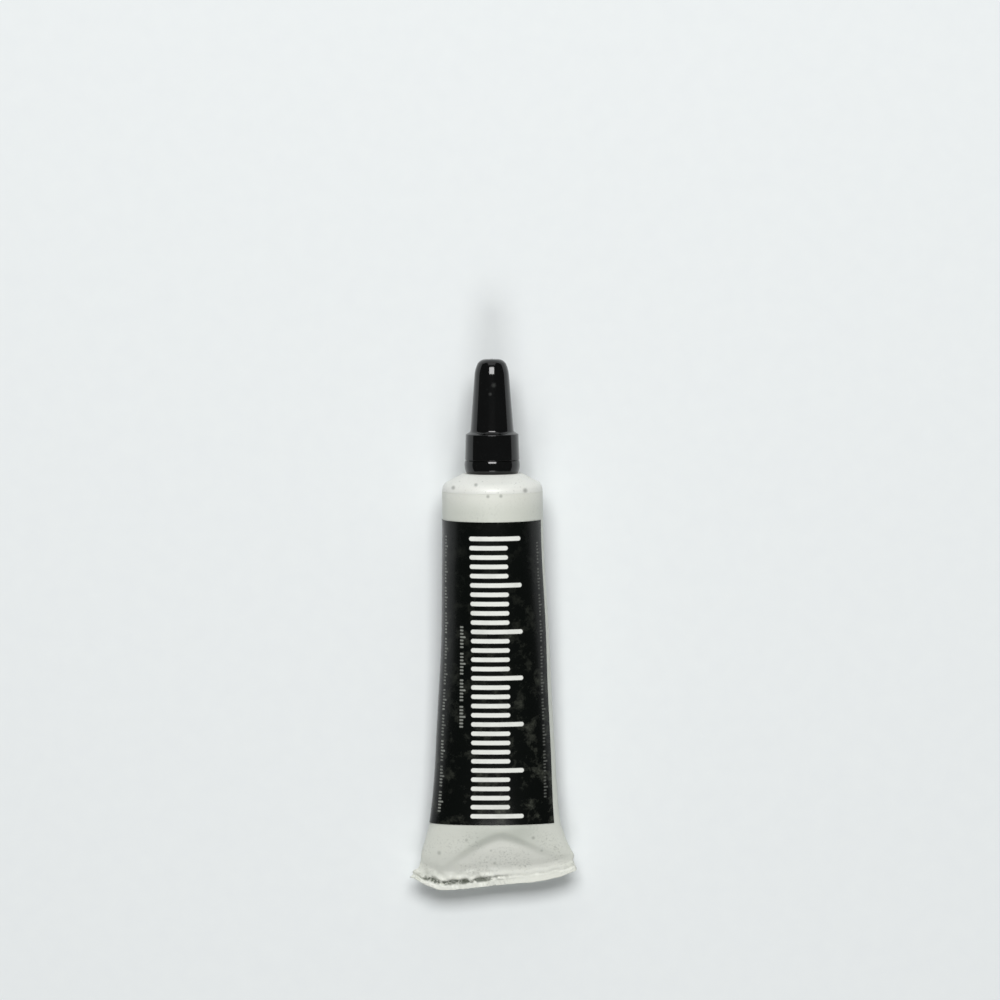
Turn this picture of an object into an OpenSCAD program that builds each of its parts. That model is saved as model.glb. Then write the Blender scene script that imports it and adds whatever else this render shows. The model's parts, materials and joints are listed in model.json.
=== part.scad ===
// Squeeze tube of dry graphite lubricant with a screwed-on nozzle cap, lying on its back.
// Lengths are in millimetres. Heights along the tube count from the sleeve's round rim:
// up towards the cap, and down, as a depth, towards the welded tail.

/* [Sleeve] */
// Outside diameter of the round end of the sleeve
tube_d = 16; // [13:0.5:22]
// Length of the sleeve from its round rim to the middle of the trimmed tail
sleeve_l = 63.1; // [48:0.1:90]
// Thickness of the sleeve wall
sleeve_wall = 0.45; // [0.35:0.05:0.6]
// Length of the round land left bare below the shoulder
land_h = 4.6; // [3:0.1:8]
// Height of the welded band across the tail
seal_h = 1.4; // [0.8:0.1:2.5]
// Thickness of the welded band, two walls pressed together
seal_t = 0.8; // [0.6:0.05:1.2]
// How far the weld spreads each end of the band sideways
seal_spread = 0.8; // [0:0.1:1]

/* [Head] */
// Height of the shoulder above the sleeve's rim
shoulder_h = 2.8; // [2:0.1:4]
// Rounding of the shoulder's outer corner
shoulder_r = 1.6; // [1:0.1:2.4]
// Diameter of the flat land that the nozzle's flange sits on
head_land_d = 9.4; // [9.2:0.1:11]
// Thickness of the shoulder under that land
head_wall = 1; // [0.8:0.1:1.4]
// Depth of the skirt that is welded inside the sleeve
head_skirt_h = 2.4; // [1.5:0.1:4]
// Thickness of that skirt and of the socket's wall
head_skirt_wall = 0.8; // [0.6:0.1:1.2]
// Diameter of the socket that grips the nozzle's plug
socket_d = 5.2; // [4.4:0.1:5.4]

/* [Nozzle] */
// Diameter of the flange between the shoulder and the cap
flange_d = 8.8; // [8.4:0.1:9]
// Height of the flange
flange_h = 1.6; // [1.2:0.1:2.4]
// Length of the plug below the flange
plug_h = 3.6; // [2.5:0.1:4.5]
// Height of the threaded stub above the flange
stub_h = 3.7; // [3.6:0.1:5]
// Length of the spout above the stub
spout_h = 11; // [8:0.1:14]
// Diameter of the spout where it leaves the stub
spout_base_d = 4.4; // [3.6:0.1:4.6]
// Diameter of the spout at its tip
spout_tip_d = 2.5; // [2.2:0.1:2.8]
// Diameter of the hole that the powder leaves by
outlet_d = 1.2; // [0.8:0.1:1.4]
// Diameter of the wide passage through the plug and stub
passage_d = 3.2; // [2.4:0.1:3.4]

/* [Thread] */
// Distance that the cap rises in one turn
pitch = 1.8; // [1.6:0.1:2]
// Outside diameter of the stub's thread
thread_d = 7; // [6.6:0.1:7.1]
// Height of the thread's ridge above the stub
thread_depth = 0.45; // [0.35:0.05:0.5]
// Width of the ridge at its foot
ridge_foot = 0.95; // [0.7:0.05:1]
// Width of the ridge at its crest
ridge_crest = 0.5; // [0.35:0.05:0.6]
// Play between the two threads, on the radius
thread_gap = 0.15; // [0.1:0.01:0.2]

/* [Cap] */
// Diameter of the skirt at its lower rim
skirt_d = 8.7; // [8.5:0.1:9]
// Diameter of the skirt just under its ledge
skirt_top_d = 8.4; // [8.3:0.1:8.6]
// Height of the skirt from its rim to the top of the ledge
skirt_h = 4.95; // [4.85:0.05:6]
// Height of the sloping ledge between skirt and cone
ledge_h = 0.4; // [0.2:0.05:0.5]
// Diameter of the cone where it rises from the ledge
cone_base_d = 6.9; // [6.7:0.1:7.1]
// Diameter of the cone below its rounded crown
cone_top_d = 5.45; // [5.2:0.05:5.8]
// Height of the cone above the ledge, crown included
cone_h = 11.55; // [11.2:0.05:15]
// Rounding of the crown
crown_r = 2; // [1.4:0.1:2.4]
// Gap between the cap's rim and the flange
rim_gap = 0.1; // [0.05:0.05:0.3]
// Diameter of the pin inside the crown that stops the outlet
stopper_d = 0.96; // [0.6:0.02:1]
// Length of that pin
stopper_h = 1; // [0.6:0.1:2]

/* [Sealing washer] */
// Thickness of the soft ring between the stub and the cap
washer_t = 0.6; // [0.4:0.05:0.7]
// Play of the ring around the spout and inside the cap, on the radius
washer_gap = 0.15; // [0.1:0.01:0.25]

/* [Label] */
// Thickness of the wrapped film
label_t = 0.1; // [0.06:0.01:0.2]
// Height of the film
label_h = 48; // [30:0.5:50]
// Distance between the round land and the film's upper edge
label_margin = 0.3; // [0.1:0.1:1]
// Steps of the sleeve's outline left bare between the film's two ends
label_bare_steps = 6; // [3:1:10]

/* [Filling and rest] */
// Height of the powder's level surface above the table
fill_level = 9; // [7:0.1:12]
// Gap between the powder and the walls that hold it
fill_gap = 0.15; // [0.1:0.01:0.3]
// Angle at which the tube lies, head up
rest_tilt = 3; // [2:0.1:4]
// How deep the soft belly is pressed flat where it lies on the table
rest_flat_depth = 0.2; // [0.1:0.01:0.3]

/* [Hidden] */

// Fineness of round faces
$fn = 96;
// Corners of each section of the sleeve
SIDES = 48;
// Segments in one turn of a thread
TURN_SIDES = 36;

// Half depth of the sleeve, front to back, as shares of its radius, by shares of its length
depth_shares = [[0, 1], [0.08, 1], [0.2, 0.975], [0.33, 0.94], [0.46, 0.885], [0.56, 0.84], [0.66, 0.785],
                [0.75, 0.72], [0.84, 0.62], [0.875, 0.51], [0.905, 0.4], [0.935, 0.24], [0.955, 0.11]];
// Trimmed edge of the tail: shares of the band's half width, and drops as shares of its height
trim_shares = [[-1.04, -1.3], [-0.63, 0.5], [-0.21, 0.2], [0, 0],
               [0.56, -0.43], [0.85, -1.05], [1.04, -1.9]];
// Where the slant of the trimmed tail starts and is complete, as shares of the sleeve's length
slant_shares = [0.84, 0.975];
// Places of the loft's sections between the label and the weld, as shares of the sleeve's length
tail_shares = [0.875, 0.905, 0.935, 0.955];
// Where the belly can meet the table, as shares of the sleeve's length
belly_shares = [0.06 : 0.02 : 0.9];
// How fast the sleeve widens as its girth is pressed flat, and how near the weld its ends spread
girth_power = 1.6;
spread_power = 8;
// Shape of a section: 2 is an ellipse, and more has fuller corners
ROUND_SECTION = 2;
FLAT_SECTION = 3;

tube_r = tube_d / 2;
sealed_half_w = PI * tube_r / 2;
weld_depth = sleeve_l - seal_h;
// Tiny step that keeps the many-sided loft inside the true round land
loft_inset = 0.01;

// Shape of the sleeve at a depth below its rim
function depth_at(down) =
    down < weld_depth ? max(tube_r * lookup(down / sleeve_l, depth_shares), seal_t / 2) : seal_t / 2;
function flatness_at(down) = 1 - depth_at(down) / tube_r;
function width_at(down) =
    sealed_half_w - (sealed_half_w - tube_r) * pow(depth_at(down) / tube_r, girth_power)
    + seal_spread * pow(flatness_at(down), spread_power);
function section_power(down) = ROUND_SECTION + (FLAT_SECTION - ROUND_SECTION) * pow(flatness_at(down), 2);
function slant_weight(down) =
    let (s = (down / sleeve_l - slant_shares[0]) / (slant_shares[1] - slant_shares[0]))
    min(max(s, 0), 1);
function slant_at(x, down) = seal_h * slant_weight(down) * lookup(x / sealed_half_w, trim_shares);

// Plane of the table, seen from the tube: how far behind the axis it lies at a height
belly_reach = max([for (s = belly_shares)
    depth_at(s * sleeve_l) + label_t + s * sleeve_l * tan(rest_tilt)]);
table_reach = belly_reach - rest_flat_depth;
table_h = table_reach * cos(rest_tilt);
function plane_behind(height, above) = table_reach + height * tan(rest_tilt) - above / cos(rest_tilt);

// One section of the sleeve, moved out by grow, kept above the table by the stated lift
function signed_power(v, p) = sign(v) * pow(abs(v), p);
function section_point(i, down, grow, lift, ceiling = undef) =
    let (angle = 360 * i / SIDES,
         p = 2 / section_power(down),
         x = (width_at(down) + grow) * signed_power(cos(angle), p),
         back = (depth_at(down) + grow) * signed_power(sin(angle), p),
         z = -down - slant_at(x, down),
         lowest = min(back, plane_behind(z, lift)))
    [x, is_undef(ceiling) ? lowest : max(lowest, plane_behind(z, ceiling)), z];
function section(down, grow, lift, ceiling = undef) =
    [for (i = [0 : SIDES - 1]) section_point(i, down, grow, lift, ceiling)];

// Faces between neighbouring rings of points, and across a ring whose halves mirror each other
function wall_faces(rings, first, outward) = [
    for (j = [0 : rings - 2], i = [0 : SIDES - 1])
        let (a = first + j * SIDES + i, b = first + j * SIDES + (i + 1) % SIDES,
             c = a + SIDES, d = b + SIDES)
        each outward ? [[a, b, d], [a, d, c]] : [[a, d, b], [a, c, d]]];
function lid_faces(first, down_facing) = [
    for (i = [0 : SIDES / 2 - 1])
        let (a = first + i, b = first + i + 1,
             c = first + (SIDES - i - 1) % SIDES, d = first + (SIDES - i) % SIDES)
        each [for (t = [[a, b, c], [a, c, d]])
            if (t[0] != t[1] && t[1] != t[2] && t[2] != t[0]) down_facing ? t : [t[2], t[1], t[0]]]];

// Depths at which the sleeve's loft has a section
label_top = land_h + label_margin;
label_steps = 8;
label_downs = [for (i = [0 : label_steps]) label_top + label_h * i / label_steps];
label_end = label_top + label_h;
tail_downs = [for (s = tail_shares)
    if (s * sleeve_l > label_end + label_margin) s * sleeve_l];
outer_downs = concat([land_h], label_downs, tail_downs, [weld_depth, sleeve_l]);
inner_downs = concat([land_h], label_downs, tail_downs);

// The whole tube laid on its back, with the middle of its outline over the origin
cap_top = shoulder_h + flange_h + rim_gap + skirt_h + cone_h;
tail_low = sleeve_l + seal_h * max([for (t = trim_shares) t[1]]);
module at_rest() {
    translate([0, (tail_low - cap_top) / 2 * cos(rest_tilt), table_h])
        rotate([rest_tilt - 90, 0, 0])
            children();
}

// Extruded tube: a true round land, and a loft that is pressed flat and welded at the tail
module sleeve() {
    inner_grow = -sleeve_wall;
    inner_lift = label_t + sleeve_wall;
    facet_share = 1 / cos(180 / SIDES);
    rim_outer = section(land_h, -loft_inset, label_t);
    rim_inner = [for (i = [0 : SIDES - 1])
        let (r = (tube_r - sleeve_wall + loft_inset) * facet_share)
        [r * cos(360 * i / SIDES), r * sin(360 * i / SIDES), -land_h]];
    outer_rings = concat([rim_outer],
        [for (k = [1 : len(outer_downs) - 1]) section(outer_downs[k], 0, label_t)]);
    inner_rings = concat([rim_inner],
        [for (k = [1 : len(inner_downs) - 1]) section(inner_downs[k], inner_grow, inner_lift)]);
    inner_first = len(outer_rings) * SIDES;
    points = [for (ring = concat(outer_rings, inner_rings), p = ring) p];
    rim_faces = [for (i = [0 : SIDES - 1])
        let (a = i, b = (i + 1) % SIDES, c = inner_first + i, d = inner_first + (i + 1) % SIDES)
        each [[a, c, d], [a, d, b]]];
    color("whitesmoke") at_rest() {
        polyhedron(points, concat(
            wall_faces(len(outer_rings), 0, true),
            wall_faces(len(inner_rings), inner_first, false),
            lid_faces((len(outer_rings) - 1) * SIDES, true),
            lid_faces(inner_first + (len(inner_rings) - 1) * SIDES, false),
            rim_faces));
        translate([0, 0, -land_h])
            rotate_extrude()
                translate([tube_r - sleeve_wall, 0])
                    square([sleeve_wall, land_h]);
    }
}

// Injection-moulded head: shoulder, welded skirt and the socket for the nozzle
head_gap = 0.03;
head_rim_h = 0.1;
socket_low = shoulder_h - plug_h - head_gap;
module head() {
    corner = [tube_r - shoulder_r, head_rim_h];
    land_edge = [head_land_d / 2, shoulder_h];
    reach = land_edge - corner;
    slope_start = atan2(reach[1], reach[0]) - acos(shoulder_r / norm(reach));
    skirt_outer = tube_r - sleeve_wall - head_gap;
    skirt_inner = skirt_outer - head_skirt_wall;
    socket_outer = socket_d / 2 + head_skirt_wall;
    arc_steps = 12;
    color("whitesmoke") at_rest()
        rotate_extrude()
            polygon(concat(
                [[socket_d / 2, socket_low], [socket_d / 2, shoulder_h], land_edge],
                [for (k = [0 : arc_steps])
                    let (a = slope_start * (1 - k / arc_steps))
                    corner + shoulder_r * [cos(a), sin(a)]],
                [[tube_r, 0], [skirt_outer, 0], [skirt_outer, -head_skirt_h], [skirt_inner, -head_skirt_h],
                 [skirt_inner, 0], [socket_outer, shoulder_h - head_wall], [socket_outer, socket_low]]));
}

// A helical ridge that fades in and out, on a cylinder or, with inward set, in a bore
function ridge_section(angle, height, foot_r, crest_r, swell) =
    let (tip_r = foot_r + (crest_r - foot_r) * swell)
    [for (p = [[foot_r, -ridge_foot / 2], [tip_r, -ridge_crest / 2],
               [tip_r, ridge_crest / 2], [foot_r, ridge_foot / 2]])
        [p[0] * cos(angle), p[0] * sin(angle), height + p[1]]];
module ridge(foot_r, crest_r, low, high) {
    steps = floor((high - low) / pitch * TURN_SIDES);
    fade_steps = 5;
    first_angle = 360 * low / pitch;
    inward = crest_r < foot_r;
    rings = [for (k = [0 : steps])
        let (turn = k / TURN_SIDES, swell = min(1, (1 + min(k, steps - k)) / (1 + fade_steps)))
        ridge_section(first_angle + 360 * turn, low + pitch * turn, foot_r, crest_r, swell)];
    corners = len(rings[0]);
    sides = [for (k = [0 : steps - 1], i = [0 : corners - 1])
        let (a = k * corners + i, b = k * corners + (i + 1) % corners,
             c = a + corners, d = b + corners)
        each inward ? [[a, c, d], [a, d, b]] : [[a, d, c], [a, b, d]]];
    last = steps * corners;
    ends = inward ? [[0, 1, 2], [0, 2, 3], [last, last + 2, last + 1], [last, last + 3, last + 2]]
                  : [[0, 2, 1], [0, 3, 2], [last, last + 1, last + 2], [last, last + 2, last + 3]];
    polyhedron([for (r = rings, p = r) p], concat(sides, ends));
}
// How far a ridge's foot is sunk into the wall that carries it
ridge_root = 0.12;
thread_r = thread_d / 2;
stub_r = thread_r - thread_depth;

// Black nozzle: plug, flange, threaded stub and tapering spout
flange_low = shoulder_h;
flange_top = flange_low + flange_h;
stub_top = flange_top + stub_h;
spout_top = stub_top + spout_h;
// How far up the spout the passage has narrowed to the outlet, as a share of the spout
throat_share = 0.25;
flange_chamfer = 0.35;
flange_edge = 0.25;
tip_edge = 0.25;
thread_clear = 0.15;
thread_low = flange_top + ridge_foot / 2 + thread_clear;
thread_high = stub_top - ridge_foot / 2 - thread_clear;
module nozzle() {
    plug_low = flange_low - plug_h;
    flange_r = flange_d / 2;
    outlet_r = outlet_d / 2;
    throat_top = stub_top + spout_h * throat_share;
    color("#141516") at_rest() {
        rotate_extrude()
            polygon([
                [passage_d / 2, plug_low], [socket_d / 2 - flange_edge, plug_low],
                [socket_d / 2, plug_low + flange_edge], [socket_d / 2, flange_low],
                [flange_r - flange_chamfer, flange_low], [flange_r, flange_low + flange_chamfer],
                [flange_r, flange_top - flange_edge], [flange_r - flange_edge, flange_top],
                [stub_r, flange_top], [stub_r, stub_top],
                [spout_base_d / 2, stub_top], [spout_tip_d / 2, spout_top - tip_edge],
                [spout_tip_d / 2 - tip_edge, spout_top], [outlet_r, spout_top],
                [outlet_r, throat_top], [passage_d / 2, flange_top]]);
        ridge(stub_r - ridge_root, thread_r, thread_low, thread_high);
    }
}

// Soft ring that seals the cap on the stub, and rises with the cap
washer_top = stub_top + washer_t;
cap_bore_r = thread_r + thread_gap;
module sealing_washer() {
    inner = spout_base_d / 2 + washer_gap;
    outer = cap_bore_r - washer_gap;
    color("lightgray") at_rest()
        translate([0, 0, stub_top])
            rotate_extrude()
                translate([inner, 0])
                    square([outer - inner, washer_t]);
}

// Screw cap: threaded skirt, ledge, cone and a rounded crown with the stopper pin inside
cap_rim = flange_top + rim_gap;
module cap() {
    ledge_top = cap_rim + skirt_h;
    crown_low = cap_top - crown_r;
    cone_r = cone_top_d / 2;
    skirt_edge = 0.15;
    spout_play = 0.3;
    tip_play = 0.15;
    cavity_base_r = spout_base_d / 2 + spout_play;
    cavity_top_r = spout_tip_d / 2 + spout_play;
    cavity_top = spout_top + tip_play;
    stopper_low = cavity_top - stopper_h;
    ridge_high = stub_top - ridge_foot / 2 - thread_clear;
    ridge_low = cap_rim + ridge_foot / 2 + thread_clear;
    arc_steps = 12;
    color("#141516") at_rest() {
        rotate_extrude()
            polygon(concat(
                [[cap_bore_r, cap_rim], [skirt_d / 2 - skirt_edge, cap_rim],
                 [skirt_d / 2, cap_rim + skirt_edge], [skirt_top_d / 2, ledge_top - ledge_h],
                 [cone_base_d / 2, ledge_top]],
                [for (k = [0 : arc_steps])
                    let (a = 90 * k / arc_steps)
                    [cone_r - crown_r + crown_r * cos(a), crown_low + crown_r * sin(a)]],
                [[0, cap_top], [0, stopper_low], [stopper_d / 2, stopper_low],
                 [stopper_d / 2, cavity_top], [cavity_top_r, cavity_top],
                 [cavity_base_r, washer_top], [cap_bore_r, washer_top]]));
        // Half a pitch out of step, so that this ridge runs in the groove of the stub's ridge
        translate([0, 0, pitch / 2])
            ridge(cap_bore_r + ridge_root, stub_r + thread_gap,
                  ridge_low - pitch / 2, ridge_high - pitch / 2);
    }
}

// Film wrapped round the sleeve, from one side of the bare strip to the other
module label() {
    first = label_bare_steps / 2;
    columns = SIDES - label_bare_steps;
    rows = label_steps;
    width = columns + 1;
    // The outline's corners are counted from the right-hand side, where the bare strip has its middle
    function film_face(grow, lift) =
        [for (down = label_downs, c = [0 : columns]) section_point(c + first, down, grow, lift)];
    inner_first = width * (rows + 1);
    quads = [for (r = [0 : rows - 1], c = [0 : columns - 1]) [r * width + c, r * width + c + 1]];
    outer_faces = [for (q = quads)
        each [[q[0], q[1], q[1] + width], [q[0], q[1] + width, q[0] + width]]];
    inner_faces = [for (f = outer_faces) [f[2] + inner_first, f[1] + inner_first, f[0] + inner_first]];
    edge_top = [for (c = [0 : columns - 1]) [c, c + 1]];
    edge_low = [for (c = [columns : -1 : 1]) [rows * width + c, rows * width + c - 1]];
    edge_left = [for (r = [rows : -1 : 1]) [r * width, (r - 1) * width]];
    edge_right = [for (r = [0 : rows - 1]) [r * width + columns, (r + 1) * width + columns]];
    edge_faces = [for (e = concat(edge_top, edge_low, edge_left, edge_right))
        each [[e[0], e[0] + inner_first, e[1] + inner_first], [e[0], e[1] + inner_first, e[1]]]];
    color("#17191a") at_rest()
        polyhedron(concat(film_face(label_t, 0), film_face(0, label_t)),
                   concat(outer_faces, inner_faces, edge_faces));
}

// Loose graphite, level where the tube lies
module graphite_powder() {
    grow = -sleeve_wall - fill_gap;
    lift = label_t + sleeve_wall + fill_gap;
    start = max(head_skirt_h + fill_gap, land_h);
    tail = [for (d = tail_downs) if (depth_at(d) + grow > fill_gap) d - fill_gap];
    downs = concat([start], label_downs, tail);
    rings = [for (d = downs) section(d, grow, lift, fill_level)];
    color("dimgray") at_rest()
        polyhedron([for (ring = rings, p = ring) p], concat(
            wall_faces(len(rings), 0, true),
            lid_faces(0, false),
            lid_faces((len(rings) - 1) * SIDES, true)));
}

sleeve();
head();
nozzle();
sealing_washer();
cap();
label();
graphite_powder();
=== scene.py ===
import json
import math

import bpy
import numpy as np
from mathutils import Matrix, Vector, noise


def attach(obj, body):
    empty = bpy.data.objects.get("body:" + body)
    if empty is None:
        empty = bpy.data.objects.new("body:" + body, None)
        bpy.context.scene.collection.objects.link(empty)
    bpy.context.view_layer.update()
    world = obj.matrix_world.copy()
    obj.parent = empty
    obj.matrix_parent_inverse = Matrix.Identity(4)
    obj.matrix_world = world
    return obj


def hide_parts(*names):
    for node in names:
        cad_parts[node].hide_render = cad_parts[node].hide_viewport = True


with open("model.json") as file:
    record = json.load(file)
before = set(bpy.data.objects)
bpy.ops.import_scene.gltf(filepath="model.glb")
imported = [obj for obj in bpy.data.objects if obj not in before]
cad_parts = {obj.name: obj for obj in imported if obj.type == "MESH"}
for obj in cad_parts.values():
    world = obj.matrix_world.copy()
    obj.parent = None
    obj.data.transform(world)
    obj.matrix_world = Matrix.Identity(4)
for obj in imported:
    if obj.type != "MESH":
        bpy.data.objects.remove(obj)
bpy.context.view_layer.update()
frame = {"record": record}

# Sleeve: a seamless extruded tube of soft white low-density polyethylene, 16 mm wide, cut to length.
# It stays round where the head is welded in. The other end is pressed flat and welded between hot bars,
# which leaves a crease on the front, a puckered groove above the weld and a tail that is trimmed askew.
MM = 0.001
barrel = next(mount for mount in frame["record"]["mounts"] if mount["name"] == "barrel")
tube_axis = Vector(barrel["axis"])
rim_point = Vector(barrel["pos_m"]) + tube_axis * barrel["dims"]["length_mm"] * MM / 2
rest_tilt = math.asin(tube_axis.z)
# Each piece is made upright in mm, its front towards -Y and the sleeve's rim at height 0, and is then
# laid on its back
lay_down = (Matrix.Translation(rim_point) @ Matrix.Rotation(rest_tilt - math.pi / 2, 4, "X")
            @ Matrix.Scale(MM, 4))

tube_r = 8.0
girth = 2 * math.pi * tube_r
girth_columns = 240
sleeve_l, sleeve_wall = 63.1, 0.45
weld_h, weld_half_t = 1.4, 0.4
weld_depth = sleeve_l - weld_h
sealed_half_w = math.pi * tube_r / 2
film_t = 0.1


def smooth_curve(table):
    """Makes a function that runs through a table's pairs without overshooting between them."""
    places, values = (np.array(side, float) for side in zip(*table))
    rises = np.diff(values) / np.diff(places)
    inner = [2 * a * b / (a + b) if a * b > 0 else 0.0 for a, b in zip(rises, rises[1:])]
    slopes = np.array([rises[0], *inner, rises[-1]])

    def value_at(place):
        place = np.clip(place, places[0], places[-1])
        k = np.clip(np.searchsorted(places, place, side="right") - 1, 0, len(rises) - 1)
        step = places[k + 1] - places[k]
        t = (place - places[k]) / step
        return (values[k] * (1 + 2 * t) * (1 - t) ** 2 + step * slopes[k] * t * (1 - t) ** 2
                + values[k + 1] * t ** 2 * (3 - 2 * t) + step * slopes[k + 1] * t ** 2 * (t - 1))
    return value_at


def eased(value, start, end):
    """Rises smoothly from 0 at start to 1 at end."""
    t = np.clip((value - start) / (end - start), 0, 1)
    return t * t * (3 - 2 * t)


def ripple(x, y, z):
    """Smooth noise between about -1 and 1 at each point, for the unevenness of soft plastic."""
    to_full_reach = 1.6
    places = zip(*(side.ravel() for side in np.broadcast_arrays(x, y, z)))
    return np.array([noise.noise(Vector(place)) for place in places]) * to_full_reach


# Half depth front to back as a share of the radius, by share of the length
depth_share = smooth_curve([
    (0, 1), (0.08, 1), (0.2, 0.975), (0.33, 0.94), (0.46, 0.885), (0.56, 0.84), (0.66, 0.785), (0.75, 0.72),
    (0.84, 0.62), (0.875, 0.51), (0.905, 0.4), (0.935, 0.24), (0.955, 0.11), (0.978, 0.05), (1, 0.05)])
# The flat tail spreads a little past half of the girth
widening_power, tail_spread, spread_power = 1.6, 0.8, 8
section_steps = 1440


def flattened(down, grow, columns):
    """Evenly spread points of the tube's section at a depth, pressed from round to flat at one girth."""
    depth = tube_r * float(depth_share(down / sleeve_l))
    flatness = 1 - depth / tube_r
    spread = tail_spread * flatness ** spread_power
    width = sealed_half_w - (sealed_half_w - tube_r) * (depth / tube_r) ** widening_power + spread
    corner = 2 / (2 + flatness ** 2)
    angle = np.linspace(0, 2 * math.pi, section_steps + 1)
    x = (width + grow) * np.sign(np.cos(angle)) * np.abs(np.cos(angle)) ** corner
    y = (depth + grow) * np.sign(np.sin(angle)) * np.abs(np.sin(angle)) ** corner
    walked = np.concatenate([[0], np.cumsum(np.hypot(np.diff(x), np.diff(y)))])
    even = np.linspace(0, walked[-1], columns + 1)
    return np.interp(even, walked, x), np.interp(even, walked, y)


# A crease is a tent that drops to both sides of its apex: the apex's place across, the drop 7 mm from it,
# the share of the way to the ramp that the wall is pressed in, and the depths where that starts and ends
crease_apex, crease_drop, crease_press, crease_start, crease_end = 1.0, 3.3, 0.36, 54.1, 55.7
back_apex, back_drop, back_press, back_start, back_end = -2.0, 2.6, 0.45, 55.2, 57.4
crease_half_w, crease_power = 7, 1.5
ramp_slope = 0.36


def pressed_in(down, grow, x, y):
    """Below its crease each side of the wall lies nearer to a straight ramp down to the weld."""
    ramp = weld_half_t + grow + max(weld_depth - down, 0) * ramp_slope
    front_line = crease_drop * (np.abs(x - crease_apex) / crease_half_w) ** crease_power
    back_line = back_drop * (np.abs(x - back_apex) / crease_half_w) ** crease_power
    front_share = crease_press * eased(down, crease_start + front_line, crease_end + front_line)
    back_share = back_press * eased(down, back_start + back_line, back_end + back_line)
    return np.where(y < 0, y + front_share * np.maximum(-y - ramp, 0),
                    y - back_share * np.maximum(y - ramp, 0))


def dents(down, x, y):
    """Soft dents, all along the wall below the head."""
    dent_depth, dent_w, dent_l, dents_start, dents_full = 0.11, 8, 15, 4.6, 14
    depth = dent_depth * float(eased(down, dents_start, dents_full))
    return depth * ripple(x / dent_w, y / dent_w, down / dent_l)


def pucker(down, x, y):
    """Where the hot bars gripped: a wandering groove under a bead, with short folds, worst on the left."""
    share = x / sealed_half_w
    least = 0.25
    left = least + (1 - least) * eased(-x, -4, 2)
    # Front and back wander each in their own way
    side = np.sign(y) * 3
    groove_depth, groove_half_w, groove_below = 0.34, 0.22, 0.1
    left_droop, right_droop = 0.75 * eased(-share, 0.72, 1.02), 0.35 * eased(share, 0.7, 1.0)
    wander, wander_w = 0.42, 1.5
    groove_line = weld_depth + groove_below + left_droop + right_droop
    groove_line = groove_line + wander * left * ripple(x / wander_w, side, 7.0)
    fold_rise, fold_w, fold_l = 0.22, 1.1, 1.3
    folds_start, folds_full = 59.6, 61.4
    groove_depth = groove_depth * left * np.clip(0.75 + 0.6 * ripple(x / fold_w, side, 2.0), 0.1, 1.3)
    bead_rise, bead_half_w, bead_above = 0.17 * left, 0.32, 0.55
    fold_rise = fold_rise * left ** 2 * float(eased(down, folds_start, folds_full))
    return (bead_rise * np.exp(-((down - groove_line + bead_above) / bead_half_w) ** 2)
            - groove_depth * np.exp(-((down - groove_line) / groove_half_w) ** 2)
            + fold_rise * ripple(x / fold_w, side, down / fold_l))


# Both ends of the flat band are pinched in above the bars: how far, at what depth and over what length
left_pinch, left_pinch_down, left_pinch_l = 0.7, 60.2, 1.6
right_pinch, right_pinch_down, right_pinch_l = 0.5, 61.3, 0.9
pinch_from, pinch_full = 0.7, 0.98
ear_out = 0.45
# Drop of the trimmed edge as a share of the weld's height, by share of the band's half width
trim_share = smooth_curve([
    (-1.04, -0.85), (-0.88, 0.0), (-0.63, 0.6), (-0.21, 0.3), (0, 0.08), (0.56, -0.35), (0.85, -0.95),
    (1.04, -1.57)])
trim_start, trim_reach = 0.84, 0.135
ragged_h, ragged_w, ragged_start = 0.06, 1.6, 62.4
bow, bow_start, bow_l = 0.33, 3, 57
belly_edge = 0.16


def sleeve_ring(down, grow, lift, columns=girth_columns):
    """One ring of the pressed tube, in mm: at a depth below its rim, grown outwards, lifted off the table."""
    x, y = flattened(down, grow, columns)
    y = pressed_in(down, grow, x, y)
    share = x / sealed_half_w
    # Dents and pucker move the wall square to itself, and the inner wall has no pucker
    out_x, out_y = np.gradient(y), -np.gradient(x)
    size = np.maximum(np.hypot(out_x, out_y), 1e-9)
    rise = dents(down, x, y)
    if grow > -sleeve_wall:
        rise = rise + pucker(down, x, y)
    x, y = x + out_x / size * rise, y + out_y / size * rise
    # Below its pinch the left end is squeezed out into a pointed ear
    left_in = left_pinch * math.exp(-((down - left_pinch_down) / left_pinch_l) ** 2)
    left_in = left_in - ear_out * float(eased(down, weld_depth, sleeve_l))
    right_in = right_pinch * math.exp(-((down - right_pinch_down) / right_pinch_l) ** 2)
    x = x + left_in * eased(-share, pinch_from, pinch_full) - right_in * eased(share, pinch_from, pinch_full)
    # The tail is trimmed askew, and its cut edge is a little ragged
    trimmed = float(np.clip((down / sleeve_l - trim_start) / trim_reach, 0, 1))
    slant = weld_h * trimmed * trim_share(x / sealed_half_w)
    ragged = ragged_h * float(eased(down, ragged_start, sleeve_l)) * ripple(x / ragged_w, 4.0, 9.0)
    z = -down - slant - ragged
    # The belly is pressed flat by the table, with a soft edge to the flat strip
    table = (rim_point.z / MM - lift) / math.cos(rest_tilt) + z * math.tan(rest_tilt)
    blend = np.clip(0.5 + (y - table) / belly_edge, 0, 1)
    y = y + (table - y) * blend - belly_edge / 2 * blend * (1 - blend)
    # The whole tube bows a little to the right at mid-length
    x = x + bow * math.sin(math.pi * min(max((down - bow_start) / bow_l, 0), 1))
    points = np.column_stack([x, y, z])
    # The ring closes on the very point it starts from
    points[-1] = points[0]
    return points


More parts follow.
